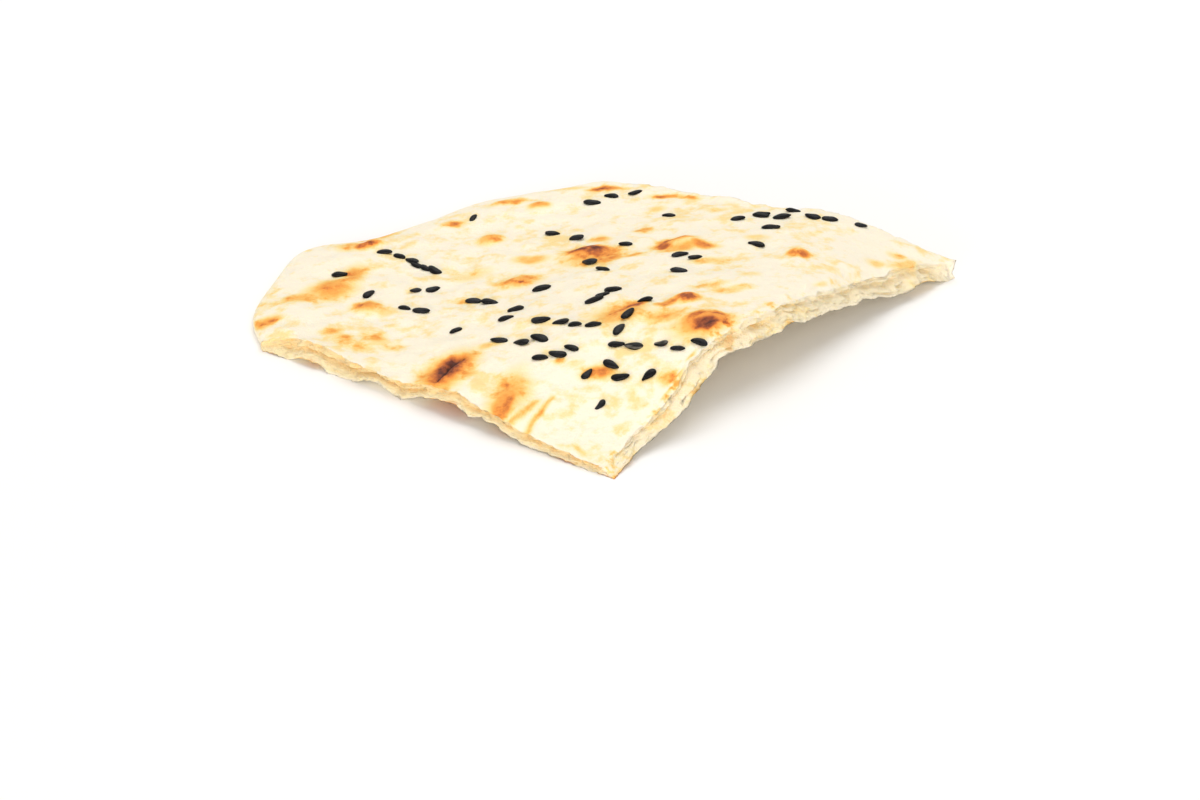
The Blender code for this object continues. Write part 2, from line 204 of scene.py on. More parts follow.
# Levels down a side where the top skin's toast and char end, the crumb starts, the crumb turns paler towards
# the bottom skin, and the underside starts. On the front-right cut only a share of the crumb colour shows,
# and its crumb is paler all over. RIM_BAND is how far from the rim its toast reaches.
TOAST_LEVELS = (0.0, 0.5)
CHAR_LEVELS = (0.0, 0.3)
CRUMB_LEVELS = (0.0, 0.15)
PALER_LEVELS = (0.55, 0.80)
UNDER_LEVELS = (0.9, 1.0)
FRONT_RIGHT_CRUMB_SHARE = 0.55
RIM_BAND = 4.0

# Toasted spots of the top crust: centre x, centre y, half length, half width, heading, toast from 0 to 1.
# First those along the left and the rim, then the back, the middle, the front and the right corner.
TOASTED_SPOTS = (
    (-56.4, -3.2, 3.2, 2.4, 0.0, 0.50),
    (-51.0, 4.4, 4.8, 2.3, 25.0, 0.44),
    (-46.2, 7.6, 5.4, 4.2, 30.0, 0.54),
    (-43.0, 13.6, 2.7, 4.8, -12.0, 0.52),
    (-44.6, 25.4, 4.2, 2.4, 5.0, 0.40),
    (-41.6, 25.0, 3.0, 1.5, 10.0, 0.64),
    (-40.2, 0.8, 3.3, 2.5, 20.0, 0.58),
    (-36.6, -0.5, 2.2, 1.6, 0.0, 0.32),
    (-42.3, -11.7, 2.4, 2.4, 0.0, 0.34),
    (-38.4, -9.8, 2.9, 1.8, 20.0, 0.32),
    (-45.6, -8.1, 2.2, 1.3, 20.0, 0.28),
    (-35.3, -13.4, 2.4, 1.7, 0.0, 0.28),
    (-39.5, -14.0, 2.6, 1.5, 0.0, 0.29),
    (-27.7, 34.2, 2.4, 1.7, 0.0, 0.48),
    (-18.4, 42.0, 4.6, 1.5, 10.0, 0.42),
    (-12.7, 39.6, 2.5, 2.0, 0.0, 0.54),
    (-0.8, 45.4, 4.2, 1.6, 0.0, 0.62),
    (-7.0, 47.0, 4.2, 1.1, 0.0, 0.30),
    (9.6, 40.0, 3.6, 1.5, -10.0, 0.54),
    (13.0, 38.4, 3.0, 1.1, -20.0, 0.36),
    (7.7, 34.5, 1.9, 1.5, 0.0, 0.34),
    (18.3, 30.6, 2.6, 1.4, 0.0, 0.30),
    (5.5, 23.4, 1.9, 2.1, 0.0, 0.48),
    (-1.7, 22.0, 2.2, 2.0, 0.0, 0.50),
    (-20.8, 27.2, 2.6, 3.4, 0.0, 0.48),
    (-19.8, 26.0, 1.1, 1.4, 0.0, 0.62),
    (-3.0, 13.8, 6.4, 5.2, 0.0, 0.48),
    (-4.2, 16.3, 5.2, 3.1, -15.0, 0.74),
    (8.8, 14.7, 3.0, 1.7, 20.0, 0.54),
    (11.2, 16.1, 3.8, 1.9, 0.0, 0.74),
    (14.8, 12.8, 3.6, 1.9, -25.0, 0.68),
    (11.5, 12.8, 3.6, 2.2, 0.0, 0.50),
    (16.0, 5.8, 4.4, 1.7, 0.0, 0.34),
    (3.5, 11.9, 1.9, 1.8, 0.0, 0.28),
    (24.0, 15.3, 2.4, 1.8, 0.0, 0.30),
    (-15.2, 7.2, 4.6, 3.1, 10.0, 0.48),
    (-14.9, 6.6, 0.8, 0.8, 0.0, 0.80),
    (-23.3, 12.4, 4.6, 2.6, 15.0, 0.26),
    (-13.7, 16.3, 3.8, 2.0, 0.0, 0.44),
    (11.6, -12.2, 2.9, 2.4, 10.0, 0.64),
    (8.4, -13.1, 3.0, 1.6, 15.0, 0.54),
    (1.1, -14.4, 5.8, 4.6, 0.0, 0.48),
    (2.9, -12.4, 3.2, 2.8, 0.0, 0.58),
    (8.4, -17.2, 4.6, 2.8, 0.0, 0.42),
    (14.5, -21.4, 6.6, 4.9, 0.0, 0.60),
    (14.4, -22.0, 3.8, 2.8, 0.0, 0.96),
    (15.7, -6.4, 3.2, 1.3, 10.0, 0.30),
    (19.3, -8.7, 3.6, 1.5, 10.0, 0.32),
    (22.1, -2.5, 2.4, 1.4, 0.0, 0.26),
    (-23.5, 1.2, 2.2, 1.2, 0.0, 0.26),
    (-19.3, -17.0, 3.0, 1.4, 10.0, 0.40),
    (-26.0, -24.6, 9.0, 4.6, 60.0, 0.64),
    (-25.8, -24.3, 8.0, 3.5, 60.0, 0.92),
    (-15.8, -31.8, 7.4, 3.6, 75.0, 0.46),
    (-14.9, -28.8, 3.6, 2.6, 0.0, 0.40),
    (-16.9, -34.6, 5.4, 3.0, 68.0, 0.58),
    (-18.2, -37.4, 3.0, 2.2, 60.0, 0.62),
    (-16.4, -35.0, 4.4, 1.5, 66.0, 0.70),
    (-2.5, -28.8, 3.0, 2.0, 10.0, 0.54),
    (-8.3, -25.6, 1.2, 1.0, 0.0, 0.42),
    (8.7, -31.9, 2.1, 1.9, 0.0, 0.42),
    (11.2, -32.8, 2.2, 1.1, 0.0, 0.34),
    (13.2, -29.4, 1.9, 1.2, 30.0, 0.36),
    (9.6, -36.2, 2.0, 1.0, 50.0, 0.28),
    (34.0, -4.6, 2.4, 1.2, 40.0, 0.26),
    (30.7, 6.2, 2.9, 1.6, 0.0, 0.50),
    (47.6, 15.0, 2.0, 1.2, 0.0, 0.38),
    (43.8, 9.9, 2.6, 2.0, 0.0, 0.34),
    (49.6, 11.4, 4.4, 3.4, 20.0, 0.36),
)

# The spots' edges wander: size and reach of each warp, and the slices it reads along x and along y. A spot
# fades out between these shares of the way to its edge.
SPOT_WARPS = ((5.0, 0.8), (1.8, 0.35))
WARP_SLICES = (71.0, 83.0)
SPOT_FADE = (0.25, 1.25)

# Toasted streaks along the folds: start x and y, end x and y, half width, toast
TOASTED_STREAKS = (
    (-12.0, -34.2, -15.4, -38.6, 1.3, 0.48),
    (-9.6, -33.9, -13.4, -40.8, 1.1, 0.46),
    (-4.6, -46.4, -5.6, -44.2, 1.0, 0.34),
)

# Scorched creases in the darkest spots: start x and y, end x and y, half width, depth, char from 0 to 1
CREASES = (
    (-23.4, -20.6, -25.2, -23.0, 1.1, 0.50, 0.75),
    (-25.2, -23.0, -26.2, -25.6, 1.2, 0.60, 0.90),
    (-26.2, -25.6, -27.6, -27.6, 1.0, 0.45, 0.85),
    (12.6, -22.6, 15.8, -21.6, 1.2, 0.25, 0.45),
)

# Black sesame seeds: size of a usual one, how much the sizes differ as shares of it, and how deep it is
# baked in, as a share of its thickness
SEED_LENGTH = 3.2
SEED_WIDTH = 1.8
SEED_THICKNESS = 0.9
SEED_SIZES = (0.74, 1.04)
SEED_SUNK = 0.27
SEED_SEGMENTS = 20
SEED_RINGS = 14
SEED_TAPER = 0.35
SEED_DRAW = 11

# The seeds' own looks: how much one bends at most, the size and depth of its dents, how far apart the seeds
# read their dents in the noise, and the share of them that are pale with flour
SEED_BEND = 0.5
SEED_DENT_SIZE = 1.5
SEED_DENT = 0.16
SEED_SLICES = 100.0
DUSTY_SHARE = 0.04
LOOKS_DRAW = 5

# The seeds lie in short drifts, as they were sprinkled, and a few lie alone. The heading is the way that
# their long side points. Drift: start x and y, end x and y, number, heading. Lone seed: x, y, heading,
# size as a share of a drift's.
SEED_DRIFTS = (
    (-38.5, 22.0, -29.0, 14.5, 5, -30.0),
    (-32.5, 7.0, -29.8, 7.7, 2, 55.0),
    (-33.5, 0.8, -30.5, -0.7, 2, -25.0),
    (-22.0, 1.2, -19.5, -0.6, 2, -15.0),
    (-15.0, -5.2, -17.0, -8.7, 2, -5.0),
    (-11.2, -12.6, -3.4, -17.0, 4, -22.0),
    (-17.2, -15.8, -14.8, -17.7, 2, -20.0),
    (-10.9, -23.4, -6.1, -23.4, 3, -28.0),
    (-3.2, -7.2, 0.8, -3.6, 3, 8.0),
    (1.7, -16.5, 1.1, -20.0, 2, 60.0),
    (0.8, -24.2, 13.0, -26.6, 5, -8.0),
    (-0.6, -27.8, 1.4, -29.8, 2, -15.0),
    (-4.0, -29.0, 5.3, -31.3, 2, 45.0),
    (-4.2, 11.2, -1.1, 6.2, 2, -25.0),
    (-9.6, 27.4, -5.5, 23.0, 2, -10.0),
    (-3.2, 39.2, 3.8, 43.0, 3, 0.0),
    (10.8, 8.2, 13.4, 6.6, 2, 5.0),
    (21.1, 24.2, 30.4, 28.7, 3, 15.0),
    (25.2, 25.7, 41.8, 23.0, 5, -10.0),
    (26.7, 19.4, 23.3, 11.7, 2, -20.0),
)
LONE_SEEDS = (
    (-45.5, 13.5, 0.0, 1.0),
    (-40.0, 5.5, 50.0, 0.9),
    (-32.8, 17.0, -20.0, 0.9),
    (-24.0, 36.0, 50.0, 0.9),
    (-25.0, -10.0, 50.0, 0.9),
    (-11.5, -18.4, -20.0, 1.0),
    (-11.5, 2.0, 20.0, 1.0),
    (5.2, -10.6, -30.0, 1.0),
    (-2.0, -35.6, 45.0, 0.7),
    (2.3, 16.6, -10.0, 0.9),
    (9.8, 30.1, -20.0, 1.0),
    (10.8, 1.9, -25.0, 1.0),
)
SEED_SCATTER = 0.7
SEED_TURN = 12.0
SEED_TILT = 9.0
ABOVE_THE_SHEET = 50.0

# The photograph's view: 28 degrees above the table, 440 mm away, through an 85 mm lens
CAMERA_ELEVATION = 28.0
CAMERA_DISTANCE = 440.0
CAMERA_LENS = 85.0
CAMERA_AIM = (-1.67, -26.03, 0.0)

# The studio: each softbox's name, place and size in metres, power and colour, then the light all round, and
# the white table
SOFTBOXES = (
    ("sky_softbox", (0.08, 0.35, 0.75), (0.9, 0.7), 4.6, (1.0, 0.985, 0.96)),
    ("front_fill", (0.25, -0.80, 0.45), (0.7, 0.5), 1.9, (1.0, 0.96, 0.92)),
    ("low_fill", (-0.30, -0.80, 0.13), (0.8, 0.2), 4.0, (1.0, 0.94, 0.88)),
)
WORLD_LIGHT = 0.49
WORLD_COLOUR = (1.0, 0.985, 0.965, 1.0)
TABLE_SIZE = 6.0
TABLE_WHITE = (0.96, 0.96, 0.96)


# Forms

def ramp(low, high, value):
    """0 below low, 1 above high, and smooth between them."""
    share = np.clip((value - low) / (high - low), 0.0, 1.0)
    return share * share * (3.0 - 2.0 * share)


def side_curve(points, shares):
    """Points at these shares of the length of a smooth curve through the named points."""
    knots = np.array(points)
    lengths = np.linalg.norm(np.diff(knots, axis=0), axis=1)
    starts = np.concatenate(([0.0], np.cumsum(lengths)))
    distance = shares * starts[-1]
    span = np.clip(np.searchsorted(starts, distance) - 1, 0, len(lengths) - 1)
    t = np.clip((distance - starts[span]) / lengths[span], 0.0, 1.0)[:, None]
    padded = np.vstack((knots[:1], knots, knots[-1:]))
    a, b, c, d = (padded[span + step] for step in range(4))
    return 0.5 * (2 * b + (c - a) * t + (2 * a - 5 * b + 4 * c - d) * t**2 + (3 * b - a - 3 * c + d) * t**3)


def unevenness(x, y, size, slice_height):
    """Smooth noise from -1 to 1 over the plan, with features of this size."""
    spots = zip((x / size).flat, (y / size).flat)
    return np.array([noise.noise((a, b, slice_height)) for a, b in spots]).reshape(x.shape)


def pebble_dents(x, y):
    """How far the pebbles press into the underside: full over a pebble's middle, none between two."""
    spots = zip((x / PEBBLE_SIZE).flat, (y / PEBBLE_SIZE).flat)
    near = np.array([noise.voronoi((a, b, PEBBLE_SLICE))[0][:2] for a, b in spots])
    return ramp(0.0, PEBBLE_EDGE, near[:, 1] - near[:, 0]).reshape(x.shape)


def crest_heights(x, y):
    """Height of the arch over the floor."""
    heading = math.radians(CREST_HEADING)
    dx, dy = x - CREST_START[0], y - CREST_START[1]
    along = dx * math.cos(heading) + dy * math.sin(heading)
    across = dx * math.sin(heading) - dy * math.cos(heading)
    reach = np.where(across > 0, CREST_REACH_RIGHT, CREST_REACH_LEFT)
    bell = np.cos(np.minimum(1.0, np.abs(across) / reach) * math.pi / 2) ** 2
    return CREST_HEIGHT * bell * ramp(*CREST_RISE, along) * (1 - CREST_LOSS * ramp(*CREST_FALL, along))


def ellipse_reach(x, y, centre_x, centre_y, half_length, half_width, heading):
    """Distance from the middle of an ellipse, as a share of the way to its edge."""
    turn = math.radians(heading)
    dx, dy = x - centre_x, y - centre_y
    along = (dx * math.cos(turn) + dy * math.sin(turn)) / half_length
    across = (dy * math.cos(turn) - dx * math.sin(turn)) / half_width
    return np.hypot(along, across)


def line_mask(x, y, start_x, start_y, end_x, end_y, half_width):
    """1 along a line, falling smoothly to 0 at its half width."""
    run_x, run_y = end_x - start_x, end_y - start_y
    share = ((x - start_x) * run_x + (y - start_y) * run_y) / (run_x**2 + run_y**2)
    share = np.clip(share, 0.0, 1.0)
    return 1 - ramp(0.0, half_width, np.hypot(x - start_x - run_x * share, y - start_y - run_y * share))


def sides(u, v):
    """Each side with the share along it and the distance from it of these points of the plan."""
    return (
        ("front_right", u, v * SIDE_LENGTH),
        ("front_left", v, u * SIDE_LENGTH),
        ("back_right", v, (1 - u) * SIDE_LENGTH),
        ("loaf_rim", u, (1 - v) * SIDE_LENGTH),
    )


def nick_heights(u, v):
    """How far the bottom skin is broken away."""
    height = np.zeros_like(u)
    for side, share, away in sides(u, v):
        for nick_side, middle, half_width, nick in NICKS:
            if nick_side == side:
                across = ramp(0.0, 1.0, np.abs(share - middle) / half_width)
                height += nick * (1 - across) * (1 - ramp(0.0, EDGE_REACH, away))
    return height


def layered_unevenness(x, y, layers):
    """Noise of several sizes added up: each layer is a size, a height and a slice."""
    return sum(height * unevenness(x, y, size, layer) for size, height, layer in layers)


class Sheet:
    """The bread's two skins over its plan, as fields on a grid of shares u and v along its sides."""

    def __init__(self, columns):
        shares = np.linspace(0.0, 1.0, columns + 1)
        self.u, self.v = np.meshgrid(shares, shares, indexing="ij")
        self.x, self.y = self.plan(shares)
        self.dent = pebble_dents(self.x, self.y)
        self.to_rim = (1 - self.v) * SIDE_LENGTH
        along = ROUGH_LEAST + (1 - ROUGH_LEAST) * (1 - ramp(*ROUGH_RUN, self.u))
        self.rough = (1 - ramp(*ROUGH_BAND, self.v * SIDE_LENGTH)) * along
        self.make_skins()
        self.make_toast()

    def plan(self, shares):
        """The plan's points: u runs along the front-right cut, v along the front-left."""
        front, back = side_curve(FRONT_RIGHT_CUT, shares), side_curve(LOAF_RIM, shares)
        left, right = side_curve(FRONT_LEFT_CUT, shares), side_curve(BACK_RIGHT_CUT, shares)
        u, v = self.u, self.v
        return (
            (1 - v) * front[:, None, i] + v * back[:, None, i]
            + (1 - u) * left[None, :, i] + u * right[None, :, i]
            - (1 - u) * (1 - v) * FRONT[i] - u * (1 - v) * RIGHT[i] - (1 - u) * v * LEFT[i] - u * v * BACK[i]
            for i in (0, 1)
        )

    def make_skins(self):
        """Heights of the bottom and top skins."""
        x, y = self.x, self.y
        full = SHEET + SHEET_VARIATION * unevenness(x, y, SHEET_PATCH, SHEET_SLICE)
        at_rim = RIM_THICKNESS + (full - RIM_THICKNESS) * ramp(-1.0, RIM_TAPER, self.to_rim)
        to_corner = np.hypot(x - FRONT[0], y - FRONT[1])
        thickness = CORNER_THICKNESS + (at_rim - CORNER_THICKNESS) * ramp(*CORNER_TAPER, to_corner)
        relief = ramp(0.0, RIM_TAPER, self.to_rim) * np.minimum(1.0, thickness / SHEET)
        dented = ramp(*RESTING_SPOT_REACH, np.hypot(x - RESTING_SPOT[0], y - RESTING_SPOT[1]))
        crest = crest_heights(x, y)
        wave = WAVE_HEIGHT * unevenness(x, y, WAVE_SIZE, WAVE_SLICE)
        under = crest + wave - SETTLE + (PEBBLE_DENT * self.dent + nick_heights(self.u, self.v)) * relief
        over = PEBBLE_ECHO * (self.dent - 0.5) + TOP_WAVE * wave
        for *ellipse, lift in BLISTERS:
            over += lift * (1 - ramp(0.0, 1.0, ellipse_reach(x, y, *ellipse)))
        for *line, height in FOLDS:
            over += height * line_mask(x, y, *line)
        for *line, depth, _ in CREASES:
            over -= depth * line_mask(x, y, *line)
        fine = layered_unevenness(x, y, CRUST_RELIEF)
        fine += self.rough * layered_unevenness(x, y, ROUGH_BAND_RELIEF)
        self.bottom = np.maximum(0.0, under) * dented
        self.top = crest + thickness + over * relief + fine * np.minimum(1.0, thickness / SHEET)

    def make_toast(self):
        """How toasted and how scorched the top crust is."""
        x, y = self.x, self.y
        warped_x, warped_y = (
            place + layered_unevenness(x, y, [(*warp, layer) for warp in SPOT_WARPS])
            for place, layer in zip((x, y), WARP_SLICES)
        )
        self.toast = np.zeros_like(x)
        for *ellipse, toast in TOASTED_SPOTS:
            spot = toast * (1 - ramp(*SPOT_FADE, ellipse_reach(warped_x, warped_y, *ellipse)))
            self.toast = np.maximum(self.toast, spot)
        for *line, toast in TOASTED_STREAKS:
            self.toast = np.maximum(self.toast, toast * line_mask(warped_x, warped_y, *line))
        self.char = np.zeros_like(x)
        for *line, _, char in CREASES:
            self.char = np.maximum(self.char, char * line_mask(warped_x, warped_y, *line))


def split_depth(side, share, level):
    """How far the skins' split reaches into a cut side, at these shares of its length and levels."""
    depth = np.zeros_like(share)
    for split_side, start, end, split_level, split in SPLITS:
        if split_side == side:
            inside = np.clip((share - start) / (end - start), 0.0, 1.0)
            fade = np.sqrt(np.clip(np.sin(math.pi * inside), 0.0, 1.0))
            depth += split * fade * (1 - ramp(0.0, SPLIT_HEIGHT, np.abs(level - split_level)))
    return depth


def peel_depth(side, share, level):
    """How far the top skin is torn back, at these shares of a cut side's length and levels."""
    depth = np.zeros_like(share)
    for peel_side, middle, half_width, peel in PEELS:
        if peel_side == side:
            depth += peel * (1 - ramp(*PEEL_FADE, np.abs(share - middle) / half_width))
    return depth * (1 - ramp(*PEEL_LEVELS, level))


def slant(side, share):
    """How far the top skin stands back. The right corner, where two cuts meet, has none."""
    to_corner = share if side == "back_right" else 1 - share
    return CUT_SLANT[side] * ramp(0.0, SLANT_FADE, to_corner)


def side_shift(side, share, level):
    """How far a side stands out from its plan, or in if below zero. Level is 0 at the top and 1 below."""
    belly = 1 - (2 * level - 1) ** 2
    if side == "loaf_rim":
        return RIM_ROUNDING * belly
    along = share * SIDE_LENGTH / CUT_RAG_SIZE
    rags = [noise.noise((a, b * CUT_RAGS_UP, SIDE_HEADING[side])) for a, b in zip(along, level)]
    cut = CUT_RAGGEDNESS * np.array(rags) - CUT_HOLLOW * belly - slant(side, share) * (1 - level)
    return cut - split_depth(side, share, level) - peel_depth(side, share, level)


def crumb_shift(side, share, level):
    """How far a cut side's crumbs stand out from it, or its flat pores reach into it."""
    shift = np.zeros_like(share)
    if side == "loaf_rim":
        return shift
    for length, height, reach in CRUMB_PORES:
        spots = zip(share * SIDE_LENGTH / length, level * SHEET / height)
        pores = np.array([noise.noise((a, b, SIDE_HEADING[side] + length)) for a, b in spots])
        shift -= reach * ramp(*PORE_OPENING, pores)
    shift *= ramp(0.0, PORE_MARGIN, level) * ramp(0.0, PORE_MARGIN, 1 - level)
    shift *= ramp(0.0, WHOLE_CORNER, share) * ramp(0.0, WHOLE_CORNER, 1 - share)
    spots = zip(share * SIDE_LENGTH / FRINGE_SIZE, level * SHEET / FRINGE_SIZE)
    return shift + FRINGE * np.array([noise.noise((a, b, SIDE_HEADING[side])) for a, b in spots])


def edge_shifts(u, v, level):
    """How far the sides move points of the plan. It fades out within a few millimetres of a side."""
    shift = np.zeros((len(u), 2))
    for side, share, away in sides(u, v):
        near = away < EDGE_REACH
        heading = math.radians(SIDE_HEADING[side])
        fade = 1 - ramp(0.0, EDGE_REACH, away[near])
        reach = side_shift(side, share[near], level[near]) * fade
        reach += crumb_shift(side, share[near], level[near]) * (away[near] == 0)
        shift[near] += np.outer(reach, (math.cos(heading), math.sin(heading)))
    return shift


def unit_block(columns, rows):
    """A closed block from (0, 0, 0) to (1, 1, 1), cut into columns both ways and into rows up its sides."""
    block = bmesh.new()
    bmesh.ops.create_cube(block, size=1.0)
    bmesh.ops.translate(block, verts=block.verts, vec=(0.5, 0.5, 0.5))
    for axis, pieces in ((2, rows), (0, columns), (1, columns)):
        runs = [e for e in block.edges if abs(e.verts[0].co[axis] - e.verts[1].co[axis]) > 0.5]
        bmesh.ops.subdivide_edges(block, edges=runs, cuts=pieces - 1, use_grid_fill=True)
    return block


def bread_shape():
    """The bread's mesh in plan millimetres, and the marks of its crust and crumb at every vertex."""
    sheet = Sheet(COLUMNS)
    block = unit_block(COLUMNS, ROWS)
    places = np.array([vertex.co for vertex in block.verts])
    i, j = np.rint(places[:, :2] * COLUMNS).astype(int).T
    u, v, level = i / COLUMNS, j / COLUMNS, 1.0 - places[:, 2]
    level = np.rint(level * ROWS) / ROWS
    shift = edge_shifts(u, v, level)
    top, bottom = sheet.top[i, j], sheet.bottom[i, j]
    points = np.column_stack((
        sheet.x[i, j] + shift[:, 0],
        sheet.y[i, j] + shift[:, 1],
        top + (bottom - top) * level,
    ))
    for vertex, point in zip(block.verts, points):
        vertex.co = point
    bmesh.ops.recalc_face_normals(block, faces=block.faces)
    cut = np.maximum((i == 0) | (i == COLUMNS), (j == 0) * FRONT_RIGHT_CRUMB_SHARE)
    inner = ramp(*CRUMB_LEVELS, level) * ramp(0.0, PORE_MARGIN, 1 - level)
    inner *= ramp(0.0, WHOLE_CORNER, np.maximum(u, v)) * ramp(0.0, WHOLE_CORNER, np.maximum(1 - u, v))
    # The crumb is paler over the whole front-right cut and low down on every side
    worn = np.maximum(j == 0, ramp(*PALER_LEVELS, level))
    marks = {
        "toast": sheet.toast[i, j] * (1 - ramp(*TOAST_LEVELS, level)),
        "char": sheet.char[i, j] * (1 - ramp(*CHAR_LEVELS, level)),
        "crumb": cut * inner,
        "worn": worn,
        "under": ramp(*UNDER_LEVELS, level),
        "dent": sheet.dent[i, j],
        "rim": 1 - ramp(0.0, RIM_BAND, sheet.to_rim[i, j]),
        "rough": sheet.rough[i, j],
    }
    return block, marks


def seed_spots(draw):
    """Plan place, heading and size of every seed: each drift's in a scattered row, then the lone ones."""
    for start_x, start_y, end_x, end_y, count, heading in SEED_DRIFTS:
        for number in range(count):
            share = number / (count - 1)
            x = start_x + (end_x - start_x) * share + draw.uniform(-SEED_SCATTER, SEED_SCATTER)
            y = start_y + (end_y - start_y) * share + draw.uniform(-SEED_SCATTER, SEED_SCATTER)
            yield x, y, heading, 1.0
    yield from LONE_SEEDS


def seed_places(surface):
    """A matrix for each seed: on the crust and nearly flat to it, with its long side along the heading."""
    draw = random.Random(SEED_DRAW)
    for x, y, heading, share in seed_spots(draw):
        point, normal, _, _ = surface.ray_cast(Vector((x, y, ABOVE_THE_SHEET)), Vector((0, 0, -1)))
        turn = math.radians(heading + draw.gauss(0.0, SEED_TURN) + draw.choice((0.0, 180.0)))
        along = Vector((math.cos(turn), math.sin(turn), 0.0))
        along = (along - normal * along.dot(normal)).normalized()
        flat = Matrix((along, normal.cross(along), normal)).transposed().to_4x4()
        tilt = Matrix.Rotation(math.radians(draw.uniform(-SEED_TILT, SEED_TILT)), 4, "Y")
        size = share * draw.uniform(*SEED_SIZES)
        stand = point + normal * SEED_THICKNESS * size * (0.5 - SEED_SUNK)
        yield Matrix.Translation(stand) @ flat @ tilt @ Matrix.Scale(size, 4)


def seeds_shape(surface):
    """All the seeds in one mesh: flat teardrops, each with a blunt end and a narrower one, some of them
    bent a little. With it, the mark of the few that are pale with flour."""
    seeds = bmesh.new()
    draw = random.Random(LOOKS_DRAW)
    dust = []
    for place in seed_places(surface):
        made = bmesh.ops.create_uvsphere(seeds, u_segments=SEED_SEGMENTS, v_segments=SEED_RINGS, radius=0.5)
        bmesh.ops.rotate(seeds, verts=made["verts"], matrix=Matrix.Rotation(math.pi / 2, 3, "Y"))
        bend = draw.uniform(-SEED_BEND, SEED_BEND)
        for vertex in made["verts"]:
            narrowing = 1 - SEED_TAPER * float(ramp(-0.5, 0.5, vertex.co.x))
            vertex.co = Vector((
                vertex.co.x * SEED_LENGTH,
                (vertex.co.y * narrowing + bend * (0.5**2 - vertex.co.x**2)) * SEED_WIDTH,
                vertex.co.z * SEED_THICKNESS,
            ))
            dent = noise.noise(vertex.co / SEED_DENT_SIZE + Vector((0, 0, SEED_SLICES * bend)))
            vertex.co += Vector((0, vertex.co.y, vertex.co.z)).normalized() * dent * SEED_DENT
        bmesh.ops.transform(seeds, verts=made["verts"], matrix=place)
        dust += [float(draw.random() < DUSTY_SHARE)] * len(made["verts"])
    bmesh.ops.recalc_face_normals(seeds, faces=seeds.faces)
    return seeds, {"dust": dust}


def add_piece(name, shape, offset, marks=None):
    """Turns a bmesh in plan millimetres into an object in metres, with its marks as attributes."""
    bmesh.ops.translate(shape, verts=shape.verts, vec=offset)
    bmesh.ops.scale(shape, verts=shape.verts, vec=(MM, MM, MM))
    mesh = bpy.data.meshes.new(name)
    shape.to_mesh(mesh)
    shape.free()
    for mark, values in (marks or {}).items():
        attribute = mesh.attributes.new(mark, "FLOAT", "POINT")
        attribute.data.foreach_set("value", np.ascontiguousarray(values, dtype=np.float32))
    mesh.shade_smooth()
    piece = bpy.data.objects.new(name, mesh)
    bpy.context.scene.collection.objects.link(piece)
    return piece


# Finishes

class Wire:
    """A shader socket that Python's arithmetic extends with Math nodes."""

    def __init__(self, finish, socket):
        self.finish, self.socket = finish, socket

    def math(self, operation, first, second):
        return self.finish.node("ShaderNodeMath", {"operation": operation}, {0: first, 1: second})

    def __add__(self, other):
        return self.math("ADD", self, other)

    def __sub__(self, other):
        return self.math("SUBTRACT", self, other)

    def __rsub__(self, other):
        return self.math("SUBTRACT", other, self)

    def __mul__(self, other):
        return self.math("MULTIPLY", self, other)

    __radd__, __rmul__ = __add__, __mul__


